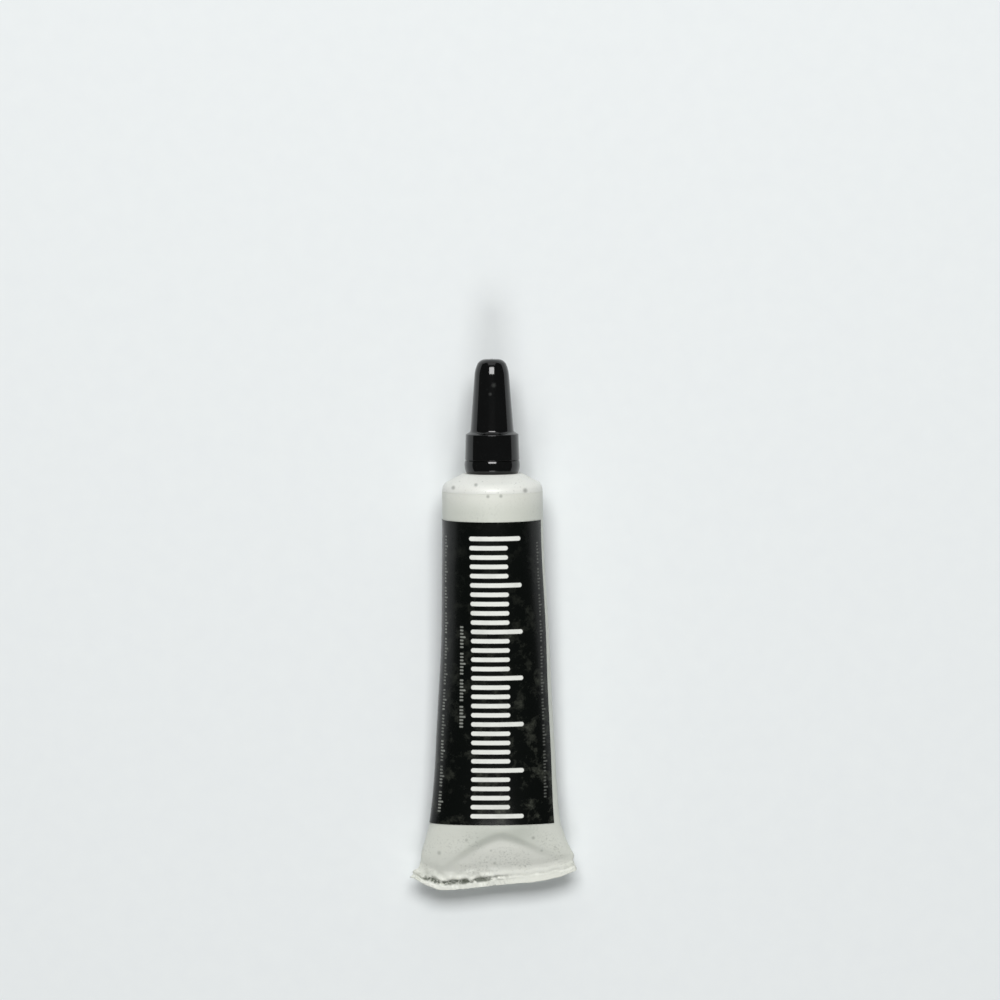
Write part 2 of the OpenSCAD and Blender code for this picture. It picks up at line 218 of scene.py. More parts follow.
def rolled(name, stations, columns=girth_columns, first=0, last=None, ring=sleeve_ring):
    """Adds a flat grid, a row for each station of depth, growth and lift, and rolls it round the tube.
    The map it keeps is the unrolled sheet in mm: across from the front's middle, and down from the rim."""
    last = columns if last is None else last
    across, along = last - first, len(stations) - 1
    bpy.ops.object.select_all(action="DESELECT")
    bpy.ops.mesh.primitive_grid_add(x_subdivisions=across, y_subdivisions=along, size=2, calc_uvs=True)
    piece = bpy.context.object
    piece.name = piece.data.name = name
    flat = np.zeros(len(piece.data.vertices) * 3)
    piece.data.vertices.foreach_get("co", flat)
    flat = flat.reshape(-1, 3)
    column = np.rint((flat[:, 0] + 1) / 2 * across).astype(int) + first
    row = np.rint((flat[:, 1] + 1) / 2 * along).astype(int)
    rings = np.array([ring(*station, columns=columns) for station in stations])
    piece.data.vertices.foreach_set("co", rings[row, column].ravel())
    corner = np.zeros(len(piece.data.loops), int)
    piece.data.loops.foreach_get("vertex_index", corner)
    depths = np.array([station[0] for station in stations])
    # A ring starts at the right-hand side, and the middle of the front is three quarters of the way round
    to_front = 0.75
    sheet = np.column_stack([(column[corner] / columns - to_front) * girth, depths[row[corner]]])
    piece.data.uv_layers.active.name = "unrolled_mm"
    piece.data.uv_layers.active.data.foreach_set("uv", sheet.ravel())
    piece.data.update()
    return piece


def face_outwards():
    """Turns all the faces of the piece in edit mode outwards, and leaves edit mode."""
    bpy.ops.mesh.select_all(action="SELECT")
    bpy.ops.mesh.normals_make_consistent(inside=False)
    bpy.ops.object.mode_set(mode="OBJECT")


def close_ends(piece):
    """Merges the seam of a rolled sheet and closes its two open rings across, one at a time."""
    bpy.ops.object.mode_set(mode="EDIT")
    bpy.ops.mesh.select_mode(type="VERT")
    bpy.ops.mesh.select_all(action="SELECT")
    bpy.ops.mesh.remove_doubles(threshold=0.0005)
    for _ in range(2):
        bpy.ops.mesh.select_all(action="DESELECT")
        bpy.ops.mesh.select_non_manifold(extend=False, use_wire=False, use_boundary=True,
                                         use_multi_face=False, use_non_contiguous=False, use_verts=False)
        bpy.ops.object.mode_set(mode="OBJECT")
        open_edges = [edge for edge in piece.data.edges if edge.select]
        loop, grown = {open_edges[0].vertices[0]}, True
        while grown:
            more = {v for edge in open_edges for v in edge.vertices if set(edge.vertices) & loop}
            grown = not more <= loop
            loop |= more
        for vertex in piece.data.vertices:
            vertex.select = vertex.index in loop
        for edge in piece.data.edges:
            edge.select = False
        for edge in open_edges:
            edge.select = edge.vertices[0] in loop
        for face in piece.data.polygons:
            face.select = False
        bpy.ops.object.mode_set(mode="EDIT")
        bpy.ops.mesh.select_mode(type="EDGE")
        bpy.ops.mesh.fill(use_beauty=True)
        bpy.ops.mesh.select_mode(type="VERT")
    face_outwards()


def fit(piece, body, cad_node, material, crease_deg=38):
    """Lays a finished piece on its back, smooths it, gives it its material and its place in the frame."""
    piece.data.transform(lay_down)
    piece.data.update()
    bpy.ops.object.select_all(action="DESELECT")
    piece.select_set(True)
    bpy.context.view_layer.objects.active = piece
    bpy.ops.object.shade_smooth_by_angle(angle=math.radians(crease_deg))
    piece.data.materials.clear()
    piece.data.materials.append(material)
    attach(piece, body)
    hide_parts(cad_node)


def linear(hex_colour):
    """Turns an sRGB hex colour to the linear values that the shaders take."""
    parts = [int(hex_colour[k:k + 2], 16) / 255 for k in (1, 3, 5)]
    return (*[p / 12.92 if p <= 0.04045 else ((p + 0.055) / 1.055) ** 2.4 for p in parts], 1.0)


def plug_in(tree, node, sockets):
    """Fills a node's sockets with values or with other nodes' outputs."""
    for socket, value in sockets.items():
        if isinstance(value, bpy.types.Node):
            value = next(output for output in value.outputs if output.enabled)
        if isinstance(value, bpy.types.NodeSocket):
            tree.links.new(value, node.inputs[socket])
        else:
            node.inputs[socket].default_value = value


def add_node(tree, kind, sockets=None, **options):
    """Adds a node with its options, and fills its sockets."""
    made = tree.nodes.new(kind)
    for option, value in options.items():
        setattr(made, option, value)
    plug_in(tree, made, sockets or {})
    return made


def start_material(name, settings):
    """Starts a material with one principled shader, and returns it with its tree and that shader."""
    material = bpy.data.materials.new(name)
    material.use_nodes = True
    shader = material.node_tree.nodes["Principled BSDF"]
    plug_in(material.node_tree, shader, settings)
    return material, material.node_tree, shader


def speck_at(tree, at, place, radius, strength, core_share=0.1):
    """A soft round speck: full strength within its core and none at its radius."""
    apart = add_node(tree, "ShaderNodeVectorMath", {0: at, 1: place}, operation="DISTANCE")
    return add_node(tree, "ShaderNodeMapRange", {
        "Value": apart, "From Min": core_share * radius, "From Max": radius,
        "To Min": strength, "To Max": 0.0}, interpolation_type="SMOOTHSTEP")


# Stations of depth, growth and lift, from the inner wall's end up to the rim and down the outside to the cut.
# They lie closer from the crease on, and closest in the pucker.
inner_end, inner_start, inner_step = 60.2, 0.2, 1.5
crease_top, pucker_top, cut_top = 52, 59, 62.85
lip = 0.05
inner_downs = np.arange(inner_end, inner_start, -inner_step)
inner_skin = [(down, -sleeve_wall, film_t + sleeve_wall) for down in inner_downs]
rim_lip = [(lip, -sleeve_wall, 1), (0, lip - sleeve_wall, 1), (0, -lip, 0.3), (lip, 0, 0.3)]
outer_downs = [*np.arange(0.4, crease_top, 0.5), *np.arange(crease_top, pucker_top, 0.25),
               *np.arange(pucker_top, cut_top, 0.12), 62.93, 63.02]
outer_skin = [(down, 0, film_t) for down in outer_downs]
cut_edge = [(63.07, -0.04, film_t), (sleeve_l, -0.11, film_t)]
sleeve = rolled("sleeve_skin", inner_skin + rim_lip + outer_skin + cut_edge)
close_ends(sleeve)

# Extruded LDPE, unpigmented: soft milky white and satin, a little light passes into it, so that the dark
# powder behind the wall greys it faintly; that grey is deepened into painted shade above the crease.
# Faint draw lines run along it, and graphite dust clings to it.
soft_ldpe, tree, shader = start_material("soft_white_ldpe", {
    "IOR": 1.51, "Roughness": 0.4, "Subsurface Weight": 0.12, "Subsurface Radius": (1.0, 0.95, 0.85),
    "Subsurface Scale": 1.2 * MM})
at = add_node(tree, "ShaderNodeTexCoord").outputs["Object"]
sheet_mm = add_node(tree, "ShaderNodeUVMap", uv_map="unrolled_mm")
split = add_node(tree, "ShaderNodeSeparateXYZ", {"Vector": sheet_mm})
across_mm, down_mm = split.outputs["X"], split.outputs["Y"]
# Cloudy tone in patches of about 6 mm
cloud = add_node(tree, "ShaderNodeTexNoise", {"Vector": at, "Scale": 1 / (6 * MM), "Detail": 3.0})
tone = add_node(tree, "ShaderNodeMix", {"Factor": cloud, "A": linear("#DADCD2"), "B": linear("#E5E7DF")},
                data_type="RGBA")
# Powder lies behind the wall from the head's skirt down to the tent-shaped crease, and its grey there
# is partly painted shade above the crease
off_apex = add_node(tree, "ShaderNodeMath", {0: across_mm, 1: crease_apex}, operation="SUBTRACT")
off_apex = add_node(tree, "ShaderNodeMath", {0: off_apex}, operation="ABSOLUTE")
tent_drop = add_node(tree, "ShaderNodeMath", {0: off_apex, 1: crease_power}, operation="POWER")
above_tent = add_node(tree, "ShaderNodeMath", {
    0: tent_drop, 1: -crease_drop / crease_half_w ** crease_power, 2: down_mm}, operation="MULTIPLY_ADD")
above_tent = add_node(tree, "ShaderNodeMapRange", {
    "Value": above_tent, "From Min": 54.4, "From Max": 56.4, "To Min": 1.0, "To Max": 0.0},
    interpolation_type="SMOOTHSTEP")
below_skirt = add_node(tree, "ShaderNodeMapRange", {"Value": down_mm, "From Min": 0.0, "From Max": 3.4},
                       interpolation_type="SMOOTHSTEP")
powder_and_painted_shade = add_node(tree, "ShaderNodeMath", {0: above_tent, 1: below_skirt}, operation="MULTIPLY")
settled = add_node(tree, "ShaderNodeMapRange", {
    "Value": cloud, "From Min": 0.3, "From Max": 0.7, "To Min": 0.42, "To Max": 0.6})
powder_and_painted_shade = add_node(tree, "ShaderNodeMath", {0: powder_and_painted_shade, 1: settled}, operation="MULTIPLY")
# Near the tail the grey, with its painted shade, keeps to the middle, where the tube is still deep
to_corner = add_node(tree, "ShaderNodeMapRange", {
    "Value": off_apex, "From Min": 2.5, "From Max": 8.0, "To Min": 1.45, "To Max": 0.5},
    interpolation_type="SMOOTHSTEP")
near_tail = add_node(tree, "ShaderNodeMapRange", {"Value": down_mm, "From Min": 45.0, "From Max": 54.0})
to_corner = add_node(tree, "ShaderNodeMath", {0: to_corner, 1: near_tail}, operation="POWER")
powder_and_painted_shade = add_node(tree, "ShaderNodeMath", {0: powder_and_painted_shade, 1: to_corner}, operation="MULTIPLY")
# Mixes in the grey of the powder behind the wall together with the painted shade above the crease
tone = add_node(tree, "ShaderNodeMix", {"Factor": powder_and_painted_shade, "A": tone, "B": linear("#BFC4B9")},
                data_type="RGBA")
# Handling dust in fine grains of 0.35 mm that gather in patches of 4 mm, thicker towards the pressed tail
grains = add_node(tree, "ShaderNodeTexNoise", {"Vector": at, "Scale": 1 / (0.35 * MM), "Detail": 2.0})
patches = add_node(tree, "ShaderNodeTexNoise", {"Vector": at, "Scale": 1 / (4 * MM), "Detail": 4.0})
tailward = add_node(tree, "ShaderNodeMapRange", {
    "Value": down_mm, "From Min": 50.0, "From Max": 61.0, "To Min": 0.25, "To Max": 1.0},
    interpolation_type="SMOOTHSTEP")
grain_cover = add_node(tree, "ShaderNodeMapRange", {
    "Value": grains, "From Min": 0.5, "From Max": 0.75, "To Max": 0.5})
patch_cover = add_node(tree, "ShaderNodeMapRange", {"Value": patches, "From Min": 0.42, "From Max": 0.7})
dust = add_node(tree, "ShaderNodeMath", {0: grain_cover, 1: patch_cover}, operation="MULTIPLY")
dust = add_node(tree, "ShaderNodeMath", {0: dust, 1: tailward}, operation="MULTIPLY")
# Graphite caked in the groove above the weld, mostly on the left but not on the ear, in clots of 0.9 mm;
# its dark is partly painted shade in the groove
off_groove = add_node(tree, "ShaderNodeMath", {0: down_mm, 1: weld_depth + 0.2}, operation="SUBTRACT")
off_groove = add_node(tree, "ShaderNodeMath", {0: off_groove}, operation="ABSOLUTE")
in_groove = add_node(tree, "ShaderNodeMapRange", {
    "Value": off_groove, "From Min": 0.2, "From Max": 0.6, "To Min": 1.0, "To Max": 0.0},
    interpolation_type="SMOOTHSTEP")
leftward = add_node(tree, "ShaderNodeMapRange", {
    "Value": across_mm, "From Min": -3.0, "From Max": 4.0, "To Min": 1.0, "To Max": 0.15},
    interpolation_type="SMOOTHSTEP")
clots = add_node(tree, "ShaderNodeTexNoise", {"Vector": at, "Scale": 1 / (0.9 * MM), "Detail": 3.0})
clot_cover = add_node(tree, "ShaderNodeMapRange", {"Value": clots, "From Min": 0.36, "From Max": 0.54})
off_ear = add_node(tree, "ShaderNodeMapRange", {
    "Value": across_mm, "From Min": -12.3, "From Max": -10.6, "To Min": 0.15, "To Max": 1.0})
caked_graphite_and_painted_shade = add_node(tree, "ShaderNodeMath", {0: in_groove, 1: leftward}, operation="MULTIPLY")
caked_graphite_and_painted_shade = add_node(tree, "ShaderNodeMath", {0: caked_graphite_and_painted_shade, 1: off_ear}, operation="MULTIPLY")
caked_graphite_and_painted_shade = add_node(tree, "ShaderNodeMath", {0: caked_graphite_and_painted_shade, 1: clot_cover}, operation="MULTIPLY")
# The caked graphite and the painted shade in the groove join the dust
dust = add_node(tree, "ShaderNodeMath", {0: dust, 1: caked_graphite_and_painted_shade}, operation="MAXIMUM")
# Single specks, placed on the unrolled sheet: across, down and radius in mm, and how dark
for speck_across, speck_down, speck_r, dark in (
        (-0.7, 0.38, 0.42, 0.5), (1.35, 0.33, 0.42, 0.5), (-4.5, 55.3, 0.42, 0.34), (6.1, 55.3, 0.45, 0.4),
        (-8.8, 57.3, 0.5, 0.34), (-0.6, 57.2, 0.3, 0.3), (0.0, 59.4, 0.4, 0.34), (7.4, 57.7, 0.35, 0.3)):
    speck = speck_at(tree, sheet_mm, (speck_across, speck_down, 0), speck_r, dark)
    dust = add_node(tree, "ShaderNodeMath", {0: dust, 1: speck}, operation="MAXIMUM")
# The dark mix carries the dust, the specks, the caked graphite and the painted shade in the groove
dusty = add_node(tree, "ShaderNodeMix", {"Factor": dust, "A": tone, "B": linear("#595E53")},
                 data_type="RGBA")
# Draw lines 0.3 mm apart that run 18 mm along the tube, and a fine orange peel of 0.5 mm
drawn = add_node(tree, "ShaderNodeMapping", {"Vector": sheet_mm, "Scale": (1 / 0.3, 1 / 18, 1)})
lines = add_node(tree, "ShaderNodeTexNoise", {"Vector": drawn, "Scale": 1.0, "Detail": 2.0})
peel = add_node(tree, "ShaderNodeTexNoise", {"Vector": at, "Scale": 1 / (0.5 * MM), "Detail": 2.0})
relief = add_node(tree, "ShaderNodeMath", {0: lines, 1: peel}, operation="ADD")
bump = add_node(tree, "ShaderNodeBump", {"Height": relief, "Strength": 0.25, "Distance": 0.02 * MM})
gloss = add_node(tree, "ShaderNodeMapRange", {"Value": patches, "To Min": 0.34, "To Max": 0.5})
plug_in(tree, shader, {"Base Color": dusty, "Normal": bump, "Roughness": gloss})
fit(sleeve, "tube", "sleeve", soft_ldpe)

# Label: a thin black printed film shrunk round the sleeve, its two ends stopping short of each other so that
# a white strip stays bare on the right. It carries a plain graduated scale in place of words.
label_top, label_h = 4.48, 48.47
label_end = label_top + label_h
edge_gap = 0.2
# Columns left bare on the back and on the front, either side of the sleeve's right-hand side
bare_back, bare_front = 15, 13
label_downs = [down for down in outer_downs if label_top + edge_gap < down < label_end - edge_gap]
label = rolled("printed_label", [(down, film_t, 0) for down in (label_top, *label_downs, label_end)],
               first=bare_back, last=girth_columns - bare_front)
bpy.ops.object.mode_set(mode="EDIT")
face_outwards()
# An open sheet has no inside, so it is turned over where its middle looks to the back
front_spot = Vector((0, -9, -20))
front_face = min(label.data.polygons, key=lambda face: (face.center - front_spot).length)
if front_face.normal.y > 0:
    label.data.flip_normals()
# The film is drawn a little thinner than its place, so that its underside stays clear of the sleeve
clear_share = 0.85
thickness = label.modifiers.new("film", "SOLIDIFY")
thickness.thickness = film_t * clear_share
thickness.offset = -1
bpy.ops.object.modifier_apply(modifier=thickness.name)

# Polyester film with satin black ink and white marks, rubbed and dusted with graphite towards the tail
ink_film, tree, shader = start_material("satin_black_ink_on_film", {
    "IOR": 1.5, "Roughness": 0.3, "Specular IOR Level": 0.2})
at = add_node(tree, "ShaderNodeTexCoord").outputs["Object"]
sheet_mm = add_node(tree, "ShaderNodeUVMap", uv_map="unrolled_mm")
split = add_node(tree, "ShaderNodeSeparateXYZ", {"Vector": sheet_mm})
across_mm, down_mm = split.outputs["X"], split.outputs["Y"]


def printed_column(left, long_w, short_w, every, top, count, spacing, thick, soft, grouped=False):
    """Covers the unrolled film with a column of round-ended bars, in mm: 1 on the ink and 0 beside it.
    Every so many bars one is long. In groups, every second long one is left out."""
    from_top = add_node(tree, "ShaderNodeMath", {0: down_mm, 1: top}, operation="SUBTRACT")

    def near_every(period):
        """Covers the bars that stand at whole periods from the top one."""
        off = add_node(tree, "ShaderNodeMath", {0: from_top, 1: period / 2, 2: -period / 2}, operation="WRAP")
        return add_node(tree, "ShaderNodeMath", {0: off, 1: 0.0, 2: spacing / 2}, operation="COMPARE")

    along = add_node(tree, "ShaderNodeMath", {0: from_top, 1: spacing / 2, 2: -spacing / 2}, operation="WRAP")
    half = add_node(tree, "ShaderNodeMapRange", {
        "Value": near_every(every * spacing),
        "To Min": (short_w - thick) / 2, "To Max": (long_w - thick) / 2})
    beside = add_node(tree, "ShaderNodeMath", {0: across_mm, 1: left + thick / 2}, operation="SUBTRACT")
    beside = add_node(tree, "ShaderNodeMath", {0: beside, 1: half}, operation="SUBTRACT")
    beside = add_node(tree, "ShaderNodeMath", {0: beside}, operation="ABSOLUTE")
    beside = add_node(tree, "ShaderNodeMath", {0: beside, 1: half}, operation="SUBTRACT")
    beside = add_node(tree, "ShaderNodeMath", {0: beside, 1: 0.0}, operation="MAXIMUM")
    offset = add_node(tree, "ShaderNodeCombineXYZ", {"X": beside, "Y": along})
    apart = add_node(tree, "ShaderNodeVectorMath", {0: offset}, operation="LENGTH")
    ink = add_node(tree, "ShaderNodeMapRange", {
        "Value": apart, "From Min": (thick - soft) / 2, "From Max": (thick + soft) / 2,
        "To Min": 1.0, "To Max": 0.0})
    middle = top + (count - 1) * spacing / 2
    within = add_node(tree, "ShaderNodeMath", {0: down_mm, 1: middle, 2: count * spacing / 2},
                      operation="COMPARE")
    ink = add_node(tree, "ShaderNodeMath", {0: ink, 1: within}, operation="MULTIPLY")
    if grouped:
        ink = add_node(tree, "ShaderNodeMath", {0: ink, 1: near_every(2 * every * spacing)},
                       operation="SUBTRACT", use_clamp=True)
    return ink


scale_marks = printed_column(left=-3.9, long_w=8.4, short_w=6.2, every=5, top=7.1, count=31, spacing=1.48,
                             thick=0.7, soft=0.1)
fine_left = printed_column(left=-9.7, long_w=1.05, short_w=0.65, every=4, top=6.5, count=89, spacing=0.51,
                           thick=0.26, soft=0.12, grouped=True)
fine_middle = printed_column(left=-5.9, long_w=1.05, short_w=0.65, every=4, top=20.7, count=33, spacing=0.53,
                             thick=0.27, soft=0.12, grouped=True)
fine_right = printed_column(left=8.0, long_w=0.85, short_w=0.5, every=4, top=7.5, count=81, spacing=0.52,
                            thick=0.24, soft=0.14, grouped=True)
# The fine marks are greyer, and the ink of the left ones varies over about 3 mm
uneven = add_node(tree, "ShaderNodeTexNoise", {"Vector": sheet_mm, "Scale": 1 / 3, "Detail": 2.0})
uneven = add_node(tree, "ShaderNodeMapRange", {
    "Value": uneven, "From Min": 0.35, "From Max": 0.65, "To Min": 0.16, "To Max": 0.42})
fine_left = add_node(tree, "ShaderNodeMath", {0: fine_left, 1: uneven}, operation="MULTIPLY")
fine_middle = add_node(tree, "ShaderNodeMath", {0: fine_middle, 1: 0.42}, operation="MULTIPLY")
fine_right = add_node(tree, "ShaderNodeMath", {0: fine_right, 1: 0.16}, operation="MULTIPLY")
fine_marks = add_node(tree, "ShaderNodeMath", {0: fine_left, 1: fine_middle}, operation="MAXIMUM")
fine_marks = add_node(tree, "ShaderNodeMath", {0: fine_marks, 1: fine_right}, operation="MAXIMUM")
# Graphite smudges about 2.5 mm across, thicker low down and to the right, made of grains of 0.25 mm
smear = add_node(tree, "ShaderNodeTexNoise", {
    "Vector": at, "Scale": 1 / (2.5 * MM), "Detail": 5.0, "Roughness": 0.65})
smudge = add_node(tree, "ShaderNodeMapRange", {"Value": smear, "From Min": 0.52, "From Max": 0.75})
low_down = add_node(tree, "ShaderNodeMapRange", {
    "Value": down_mm, "From Min": 5.0, "From Max": 50.0, "To Min": 0.12, "To Max": 1.0})
rightward = add_node(tree, "ShaderNodeMapRange", {
    "Value": across_mm, "From Min": -12.0, "From Max": 12.0, "To Min": 0.6, "To Max": 1.2})
film_grain = add_node(tree, "ShaderNodeTexNoise", {"Vector": at, "Scale": 1 / (0.25 * MM), "Detail": 2.0})
film_grain = add_node(tree, "ShaderNodeMapRange", {"Value": film_grain, "From Min": 0.2, "From Max": 0.75})
smudge = add_node(tree, "ShaderNodeMath", {0: smudge, 1: low_down}, operation="MULTIPLY")
smudge = add_node(tree, "ShaderNodeMath", {0: smudge, 1: rightward}, operation="MULTIPLY")
smudge = add_node(tree, "ShaderNodeMath", {0: smudge, 1: film_grain}, operation="MULTIPLY", use_clamp=True)
ink_tone = add_node(tree, "ShaderNodeMix", {
    "Factor": smudge, "A": linear("#080B09"), "B": linear("#5C5F55")}, data_type="RGBA")
ink_tone = add_node(tree, "ShaderNodeMix", {
    "Factor": fine_marks, "A": ink_tone, "B": linear("#C9CDC4")}, data_type="RGBA")
wear = add_node(tree, "ShaderNodeMapRange", {
    "Value": smear, "From Min": 0.45, "From Max": 0.85, "To Min": 1.0, "To Max": 0.8})
white_marks = add_node(tree, "ShaderNodeMath", {0: scale_marks, 1: wear}, operation="MULTIPLY")
ink_tone = add_node(tree, "ShaderNodeMix", {
    "Factor": white_marks, "A": ink_tone, "B": linear("#E9EBE5")}, data_type="RGBA")
rubbed = add_node(tree, "ShaderNodeMapRange", {"Value": smear, "To Min": 0.2, "To Max": 0.34})
# The film takes on a faint ripple of about 1 mm, and the white ink stands a few microns proud
film_wave = add_node(tree, "ShaderNodeTexNoise", {"Vector": at, "Scale": 1 / (1.0 * MM), "Detail": 3.0})
relief = add_node(tree, "ShaderNodeMath", {0: white_marks, 1: 0.4, 2: film_wave}, operation="MULTIPLY_ADD")
bump = add_node(tree, "ShaderNodeBump", {"Height": relief, "Strength": 0.3, "Distance": 0.02 * MM})
plug_in(tree, shader, {"Base Color": ink_tone, "Normal": bump, "Roughness": rubbed})
fit(label, "tube", "label", ink_film)

# Head: the injection-moulded white shoulder, high-density polyethylene, that is welded into the round end.
# A sloping shoulder runs up to a flat land, and a socket through its middle grips the nozzle's plug.


def rounded(outline):
    """Turns an outline's corners, given as radius, height and the rounding wanted, into short arcs."""
    arc_steps = 8
    points = []
    for k, (r, z, *rounding) in enumerate(outline):
        if not rounding:
            points.append(Vector((r, z)))
            continue
        here, before, after = Vector((r, z)), Vector(outline[k - 1][:2]), Vector(outline[k + 1][:2])
        back, on = (before - here).normalized(), (after - here).normalized()
        half = back.angle(on) / 2
        centre = here + (back + on).normalized() * rounding[0] / math.sin(half)
        start, end = (here + way * rounding[0] / math.tan(half) - centre for way in (back, on))
        points += [centre + start.slerp(end, step / arc_steps).normalized() * rounding[0]
                   for step in range(arc_steps + 1)]
    return points


def turned(name, outline, steps=96):
    """Draws an outline point by point from a single vertex and spins it round the tube's axis."""
    points = rounded(outline)
    bpy.ops.object.select_all(action="DESELECT")
    bpy.ops.mesh.primitive_plane_add(size=1)
    piece = bpy.context.object
    piece.name = piece.data.name = name
    bpy.ops.object.mode_set(mode="EDIT")
    bpy.ops.mesh.select_mode(type="VERT")
    bpy.ops.mesh.select_all(action="SELECT")
    bpy.ops.mesh.merge(type="CENTER")
    bpy.ops.transform.translate(value=(points[0].x, 0, points[0].y))
    for here, after in zip(points, points[1:]):
        step = (after.x - here.x, 0, after.y - here.y)
        bpy.ops.mesh.extrude_vertices_move(TRANSFORM_OT_translate={"value": step})
    bpy.ops.mesh.select_all(action="SELECT")
    bpy.ops.mesh.spin(steps=steps, angle=2 * math.pi, center=(0, 0, 0), axis=(0, 0, 1))
    bpy.ops.mesh.select_all(action="SELECT")
    bpy.ops.mesh.remove_doubles(threshold=0.0008)
    face_outwards()
    return piece


def on_front(piece, across, height):
    """Finds the place on a turned piece's front at a distance across and a height, once it is laid down."""
    bpy.context.view_layer.update()
    well_ahead = Vector((across, -20, height))
    _, place, _, _ = piece.ray_cast(well_ahead, Vector((0, 1, 0)))
    return lay_down @ place


socket_r, socket_low, socket_wall = 2.6, -0.83, 0.8
land_r, land_z, land_round = 4.7, 2.8, 0.3
shoulder_z, shoulder_round = 1.068, 1.6
skirt_r, skirt_low, skirt_wall = 7.52, -2.4, 0.8
inner_top, inner_round = 1.8, 0.4
head = turned("moulded_head", [
    (socket_r, socket_low), (socket_r, land_z, 0.08), (land_r, land_z, land_round),
    (tube_r, shoulder_z, shoulder_round), (tube_r, 0), (skirt_r, 0), (skirt_r, skirt_low),
    (skirt_r - skirt_wall, skirt_low), (skirt_r - skirt_wall, 0, inner_round),
    (socket_r + socket_wall, inner_top, 0.3), (socket_r + socket_wall, socket_low), (socket_r, socket_low)])

# Moulded HDPE: whiter and tighter than the sleeve, satin from a spark-eroded mould, with stray graphite
white_hdpe, tree, shader = start_material("satin_white_hdpe", {
    "IOR": 1.54, "Roughness": 0.36, "Subsurface Weight": 0.1, "Subsurface Radius": (1.0, 0.95, 0.9),
    "Subsurface Scale": 1.0 * MM})
at = add_node(tree, "ShaderNodeTexCoord").outputs["Object"]
# Cloudy tone in patches of 4 mm, and fine dust in grains of 0.3 mm
cloud = add_node(tree, "ShaderNodeTexNoise", {"Vector": at, "Scale": 1 / (4 * MM), "Detail": 3.0})
tone = add_node(tree, "ShaderNodeMix", {"Factor": cloud, "A": linear("#E1E3DC"), "B": linear("#EBECE7")},
                data_type="RGBA")
grains = add_node(tree, "ShaderNodeTexNoise", {"Vector": at, "Scale": 1 / (0.3 * MM), "Detail": 2.0})
dust = add_node(tree, "ShaderNodeMapRange", {
    "Value": grains, "From Min": 0.62, "From Max": 0.8, "To Max": 0.4})
# Specks on the shoulder's front, smeared down its slope: across, height and radius in mm
smeared = Vector((1, 1, 0.35))
smeared_at = add_node(tree, "ShaderNodeVectorMath", {0: at, 1: smeared}, operation="MULTIPLY")
for speck_x, speck_z, speck_r in ((-6.2, 0.85, 0.52), (-2.6, 1.4, 0.46), (5.2, 0.42, 0.6)):
    speck = speck_at(tree, smeared_at, on_front(head, speck_x, speck_z) * smeared, speck_r * MM, 0.55)
    dust = add_node(tree, "ShaderNodeMath", {0: dust, 1: speck}, operation="MAXIMUM")
dusty = add_node(tree, "ShaderNodeMix", {"Factor": dust, "A": tone, "B": linear("#54564F")},
                 data_type="RGBA")
# Spark pits 0.15 mm across
pits = add_node(tree, "ShaderNodeTexNoise", {"Vector": at, "Scale": 1 / (0.15 * MM), "Detail": 2.0})
bump = add_node(tree, "ShaderNodeBump", {"Height": pits, "Strength": 0.25, "Distance": 0.012 * MM})
plug_in(tree, shader, {"Base Color": dusty, "Normal": bump})
fit(head, "tube", "head", white_hdpe)

# Nozzle: one black polypropylene moulding. Its plug is pressed into the head, its collar sits on the land,
# the stub above carries the thread for the cap, and the long spout tapers to the outlet.
pitch = 1.8
ridge_foot_w, ridge_crest_w, ridge_round = 0.95, 0.5, 0.12
# The ridge is sunk a little into the wall that carries it, and keeps clear of both ends of its wall
ridge_root, thread_margin = 0.12, 0.625


def wound_ridge(name, foot_r, crest_r, low, high, lead=0.0, steps_a_turn=60):
    """Winds a thread's ridge with a screw from low to high, and lets it fade in and out at its ends.
    Its lead shifts the whole winding along the axis."""
    turns = (high - low) / pitch
    bpy.ops.object.select_all(action="DESELECT")
    bpy.ops.mesh.primitive_plane_add(size=1)
    ridge = bpy.context.object
    ridge.name = ridge.data.name = name
    corners = [(foot_r, -ridge_foot_w / 2), (crest_r, -ridge_crest_w / 2), (crest_r, ridge_crest_w / 2),
               (foot_r, ridge_foot_w / 2)]
    loop = [ridge.data.loops[k].vertex_index for k in ridge.data.polygons[0].loop_indices]
    for index, (r, z) in zip(loop, corners):
        ridge.data.vertices[index].co = (r, 0, z)
    for vertex in ridge.data.vertices:
        vertex.select = abs(vertex.co.x - crest_r) < 1e-6
    for edge in ridge.data.edges:
        edge.select = False
    ridge.data.polygons[0].select = False
    bpy.ops.object.mode_set(mode="EDIT")
    bpy.ops.mesh.select_mode(type="VERT")
    bpy.ops.mesh.bevel(offset=ridge_round, segments=3, affect="VERTICES")
    bpy.ops.mesh.select_all(action="SELECT")
    bpy.ops.mesh.delete(type="ONLY_FACE")
    bpy.ops.object.mode_set(mode="OBJECT")
    screw = ridge.modifiers.new("winding", "SCREW")
    screw.angle, screw.screw_offset = 2 * math.pi * turns, pitch * turns
    screw.steps = screw.render_steps = round(steps_a_turn * turns)
    bpy.ops.object.modifier_apply(modifier=screw.name)
    close_ends(ridge)
    fade_turns, least_share = 0.14, 0.15
    for vertex in ridge.data.vertices:
        share = math.atan2(vertex.co.y, vertex.co.x) / (2 * math.pi) % 1
        turn = share + round(vertex.co.z / pitch - share)
        swell = min(1.0, max(min(turn, turns - turn) / fade_turns, least_share))
        reach = math.hypot(vertex.co.x, vertex.co.y)
        wanted = foot_r + (reach - foot_r) * swell
        vertex.co.x *= wanted / reach
        vertex.co.y *= wanted / reach
    lead_angle = 2 * math.pi * (low - lead) / pitch
    ridge.data.transform(Matrix.Translation((0, 0, low)) @ Matrix.Rotation(lead_angle, 4, "Z"))
    return ridge


